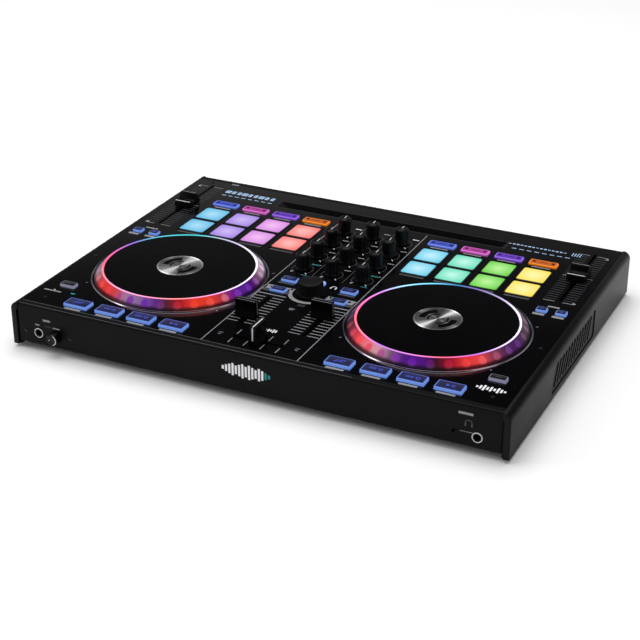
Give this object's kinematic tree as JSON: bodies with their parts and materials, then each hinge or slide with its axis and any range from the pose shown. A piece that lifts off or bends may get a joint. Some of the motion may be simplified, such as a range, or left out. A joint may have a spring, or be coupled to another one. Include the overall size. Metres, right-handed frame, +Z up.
{
  "type": "dj controller",
  "caption": "Flat two-deck DJ controller with large lit jog wheels, lit pads, a knob mixer with faders, a tablet groove and front jack sockets.",
  "frame": {"origin": "middle of the body, on the table surface under the feet", "axes": "+X to the player's right, +Y away from the player, +Z up"},
  "size_m": [0.528, 0.401, 0.0694],
  "materials": {
    "tray_steel": "satin black powder coat",
    "panel_gloss": "high gloss black with grey printed marks",
    "groove_black": "fine matt black",
    "end_cap_black": "satin dark grey, finely textured",
    "foot_rubber": "matt",
    "circuit_board": "green solder mask",
    "spindle_steel": "turned",
    "jog_rim_clear": "translucent dimpled rim lit from inside",
    "jog_platter_black": "black with a spun metal disc in the middle",
    "left_pad_silicone": "lit silicone, blue to coral",
    "right_pad_silicone": "lit silicone, cyan to yellow",
    "mode_key_plastic": "translucent, lit",
    "blue_key_plastic": "dark cap on a blue lit surround",
    "shift_key_plastic": "dark cap on a pale surround",
    "knob_black": "fine satin with a white pointer",
    "fader_black": "satin with a white line",
    "socket_metal": "bright nickel ring",
    "switch_black": "gloss"
  },
  "bodies": {
    "housing": {"bottom_tray": "tray_steel", "top_plate": "panel_gloss", "tablet_groove": "groove_black", "front_left_foot": "foot_rubber", "rear_left_foot": "foot_rubber", "front_right_foot": "foot_rubber", "rear_right_foot": "foot_rubber", "main_board": "circuit_board", "left_end_cap": "end_cap_black", "left_jog_spindle": "spindle_steel", "right_end_cap": "end_cap_black", "right_jog_spindle": "spindle_steel", "mic_jack": "socket_metal", "phones_jack": "socket_metal", "mini_phones_jack": "socket_metal", "output_sockets": "socket_metal", "usb_socket": "socket_metal"},
    "left_jog": {"left_jog_rim": "jog_rim_clear", "left_jog_platter": "jog_platter_black"},
    "right_jog": {"right_jog_rim": "jog_rim_clear", "right_jog_platter": "jog_platter_black"},
    "left_pads": {"left_pads": "left_pad_silicone"},
    "left_mode_keys": {"left_mode_keys": "mode_key_plastic"},
    "left_sync_key": {"left_sync_key": "blue_key_plastic"},
    "left_set_key": {"left_set_key": "blue_key_plastic"},
    "left_cue_key": {"left_cue_key": "blue_key_plastic"},
    "left_play_key": {"left_play_key": "blue_key_plastic"},
    "left_shift_key": {"left_shift_key": "shift_key_plastic"},
    "left_bend_keys": {"left_bend_keys": "blue_key_plastic"},
    "left_cue_keys": {"left_cue_keys": "blue_key_plastic"},
    "right_pads": {"right_pads": "right_pad_silicone"},
    "right_mode_keys": {"right_mode_keys": "mode_key_plastic"},
    "right_sync_key": {"right_sync_key": "blue_key_plastic"},
    "right_set_key": {"right_set_key": "blue_key_plastic"},
    "right_cue_key": {"right_cue_key": "blue_key_plastic"},
    "right_play_key": {"right_play_key": "blue_key_plastic"},
    "right_shift_key": {"right_shift_key": "shift_key_plastic"},
    "right_bend_keys": {"right_bend_keys": "blue_key_plastic"},
    "right_cue_keys": {"right_cue_keys": "blue_key_plastic"},
    "browse_back_key": {"browse_back_key": "blue_key_plastic"},
    "left_gain_knob": {"left_gain_knob": "knob_black"},
    "left_treble_knob": {"left_treble_knob": "knob_black"},
    "left_mid_knob": {"left_mid_knob": "knob_black"},
    "left_bass_knob": {"left_bass_knob": "knob_black"},
    "master_level_knob": {"master_level_knob": "knob_black"},
    "booth_level_knob": {"booth_level_knob": "knob_black"},
    "sampler_level_knob": {"sampler_level_knob": "knob_black"},
    "phones_level_knob": {"phones_level_knob": "knob_black"},
    "right_gain_knob": {"right_gain_knob": "knob_black"},
    "right_treble_knob": {"right_treble_knob": "knob_black"},
    "right_mid_knob": {"right_mid_knob": "knob_black"},
    "right_bass_knob": {"right_bass_knob": "knob_black"},
    "browse_encoder": {"browse_encoder": "knob_black"},
    "mic_level_knob": {"mic_level_knob": "knob_black"},
    "left_pitch_fader": {"left_pitch_fader": "fader_black"},
    "right_pitch_fader": {"right_pitch_fader": "fader_black"},
    "left_channel_fader": {"left_channel_fader": "fader_black"},
    "right_channel_fader": {"right_channel_fader": "fader_black"},
    "crossfader": {"crossfader": "fader_black"},
    "power_switch": {"power_switch": "switch_black"}
  },
  "joints": [
    {"name": "left_jog_spin", "type": "hinge", "parent": "housing", "child": "left_jog", "pos_m": [-0.1432, -0.0625, 0.05], "axis": [0, 0, 1], "continuous": true},
    {"name": "right_jog_spin", "type": "hinge", "parent": "housing", "child": "right_jog", "pos_m": [0.1432, -0.0625, 0.05], "axis": [0, 0, 1], "continuous": true},
    {"name": "left_pads_press", "type": "slide", "parent": "housing", "child": "left_pads", "axis": [0, 0, 1], "range_m": [-0.0008, 0], "stiffness_N_per_m": 2500, "springref_m": 0.001},
    {"name": "left_mode_keys_press", "type": "slide", "parent": "housing", "child": "left_mode_keys", "axis": [0, 0, 1], "range_m": [-0.0008, 0], "stiffness_N_per_m": 1200, "springref_m": 0.001},
    {"name": "left_sync_key_press", "type": "slide", "parent": "housing", "child": "left_sync_key", "axis": [0, 0, 1], "range_m": [-0.001, 0], "stiffness_N_per_m": 600, "springref_m": 0.0005},
    {"name": "left_set_key_press", "type": "slide", "parent": "housing", "child": "left_set_key", "axis": [0, 0, 1], "range_m": [-0.001, 0], "stiffness_N_per_m": 600, "springref_m": 0.0005},
    {"name": "left_cue_key_press", "type": "slide", "parent": "housing", "child": "left_cue_key", "axis": [0, 0, 1], "range_m": [-0.001, 0], "stiffness_N_per_m": 600, "springref_m": 0.0005},
    {"name": "left_play_key_press", "type": "slide", "parent": "housing", "child": "left_play_key", "axis": [0, 0, 1], "range_m": [-0.001, 0], "stiffness_N_per_m": 600, "springref_m": 0.0005},
    {"name": "left_shift_key_press", "type": "slide", "parent": "housing", "child": "left_shift_key", "axis": [0, 0, 1], "range_m": [-0.001, 0], "stiffness_N_per_m": 500, "springref_m": 0.0005},
    {"name": "left_bend_keys_press", "type": "slide", "parent": "housing", "child": "left_bend_keys", "axis": [0, 0, 1], "range_m": [-0.0008, 0], "stiffness_N_per_m": 500, "springref_m": 0.0005},
    {"name": "left_cue_keys_press", "type": "slide", "parent": "housing", "child": "left_cue_keys", "axis": [0, 0, 1], "range_m": [-0.0008, 0], "stiffness_N_per_m": 500, "springref_m": 0.0005},
    {"name": "right_pads_press", "type": "slide", "parent": "housing", "child": "right_pads", "axis": [0, 0, 1], "range_m": [-0.0008, 0], "stiffness_N_per_m": 2500, "springref_m": 0.001},
    {"name": "right_mode_keys_press", "type": "slide", "parent": "housing", "child": "right_mode_keys", "axis": [0, 0, 1], "range_m": [-0.0008, 0], "stiffness_N_per_m": 1200, "springref_m": 0.001},
    {"name": "right_sync_key_press", "type": "slide", "parent": "housing", "child": "right_sync_key", "axis": [0, 0, 1], "range_m": [-0.001, 0], "stiffness_N_per_m": 600, "springref_m": 0.0005},
    {"name": "right_set_key_press", "type": "slide", "parent": "housing", "child": "right_set_key", "axis": [0, 0, 1], "range_m": [-0.001, 0], "stiffness_N_per_m": 600, "springref_m": 0.0005},
    {"name": "right_cue_key_press", "type": "slide", "parent": "housing", "child": "right_cue_key", "axis": [0, 0, 1], "range_m": [-0.001, 0], "stiffness_N_per_m": 600, "springref_m": 0.0005},
    {"name": "right_play_key_press", "type": "slide", "parent": "housing", "child": "right_play_key", "axis": [0, 0, 1], "range_m": [-0.001, 0], "stiffness_N_per_m": 600, "springref_m": 0.0005},
    {"name": "right_shift_key_press", "type": "slide", "parent": "housing", "child": "right_shift_key", "axis": [0, 0, 1], "range_m": [-0.001, 0], "stiffness_N_per_m": 500, "springref_m": 0.0005},
    {"name": "right_bend_keys_press", "type": "slide", "parent": "housing", "child": "right_bend_keys", "axis": [0, 0, 1], "range_m": [-0.0008, 0], "stiffness_N_per_m": 500, "springref_m": 0.0005},
    {"name": "right_cue_keys_press", "type": "slide", "parent": "housing", "child": "right_cue_keys", "axis": [0, 0, 1], "range_m": [-0.0008, 0], "stiffness_N_per_m": 500, "springref_m": 0.0005},
    {"name": "browse_back_key_press", "type": "slide", "parent": "housing", "child": "browse_back_key", "axis": [0, 0, 1], "range_m": [-0.0008, 0], "stiffness_N_per_m": 400, "springref_m": 0.0005},
    {"name": "left_gain_turn", "type": "hinge", "parent": "housing", "child": "left_gain_knob", "pos_m": [-0.034, 0.1075, 0.06], "axis": [0, 0, 1], "range_deg": [-150, 150]},
    {"name": "left_treble_turn", "type": "hinge", "parent": "housing", "child": "left_treble_knob", "pos_m": [-0.034, 0.0727, 0.06], "axis": [0, 0, 1], "range_deg": [-150, 150]},
    {"name": "left_mid_turn", "type": "hinge", "parent": "housing", "child": "left_mid_knob", "pos_m": [-0.034, 0.0379, 0.06], "axis": [0, 0, 1], "range_deg": [-150, 150]},
    {"name": "left_bass_turn", "type": "hinge", "parent": "housing", "child": "left_bass_knob", "pos_m": [-0.034, 0.0031, 0.06], "axis": [0, 0, 1], "range_deg": [-150, 150]},
    {"name": "master_level_turn", "type": "hinge", "parent": "housing", "child": "master_level_knob", "pos_m": [0, 0.1075, 0.06], "axis": [0, 0, 1], "range_deg": [-150, 150]},
    {"name": "booth_level_turn", "type": "hinge", "parent": "housing", "child": "booth_level_knob", "pos_m": [0, 0.0727, 0.06], "axis": [0, 0, 1], "range_deg": [-150, 150]},
    {"name": "sampler_level_turn", "type": "hinge", "parent": "housing", "child": "sampler_level_knob", "pos_m": [0, 0.0379, 0.06], "axis": [0, 0, 1], "range_deg": [-150, 150]},
    {"name": "phones_level_turn", "type": "hinge", "parent": "housing", "child": "phones_level_knob", "pos_m": [0, 0.0031, 0.06], "axis": [0, 0, 1], "range_deg": [-150, 150]},
    {"name": "right_gain_turn", "type": "hinge", "parent": "housing", "child": "right_gain_knob", "pos_m": [0.034, 0.1075, 0.06], "axis": [0, 0, 1], "range_deg": [-150, 150]},
    {"name": "right_treble_turn", "type": "hinge", "parent": "housing", "child": "right_treble_knob", "pos_m": [0.034, 0.0727, 0.06], "axis": [0, 0, 1], "range_deg": [-150, 150]},
    {"name": "right_mid_turn", "type": "hinge", "parent": "housing", "child": "right_mid_knob", "pos_m": [0.034, 0.0379, 0.06], "axis": [0, 0, 1], "range_deg": [-150, 150]},
    {"name": "right_bass_turn", "type": "hinge", "parent": "housing", "child": "right_bass_knob", "pos_m": [0.034, 0.0031, 0.06], "axis": [0, 0, 1], "range_deg": [-150, 150]},
    {"name": "browse_turn", "type": "hinge", "parent": "housing", "child": "browse_encoder", "pos_m": [0, -0.0485, 0.06], "axis": [0, 0, 1], "continuous": true},
    {"name": "mic_level_turn", "type": "hinge", "parent": "housing", "child": "mic_level_knob", "pos_m": [-0.2125, -0.1955, 0.0208], "axis": [0, -1, 0], "range_deg": [-150, 150]},
    {"name": "left_pitch_fader_slide", "type": "slide", "parent": "housing", "child": "left_pitch_fader", "axis": [0, 1, 0], "range_m": [-0.05, 0.05]},
    {"name": "right_pitch_fader_slide", "type": "slide", "parent": "housing", "child": "right_pitch_fader", "axis": [0, 1, 0], "range_m": [-0.05, 0.05]},
    {"name": "left_channel_fader_slide", "type": "slide", "parent": "housing", "child": "left_channel_fader", "axis": [0, 1, 0], "range_m": [-0.0055, 0.0395]},
    {"name": "right_channel_fader_slide", "type": "slide", "parent": "housing", "child": "right_channel_fader", "axis": [0, 1, 0], "range_m": [-0.0345, 0.0105]},
    {"name": "crossfader_slide", "type": "slide", "parent": "housing", "child": "crossfader", "axis": [1, 0, 0], "range_m": [-0.02, 0.02]},
    {"name": "power_switch_rock", "type": "hinge", "parent": "housing", "child": "power_switch", "pos_m": [0.215, 0.1895, 0.0208], "axis": [0, 0, 1], "range_deg": [0, 12]}
  ]
}
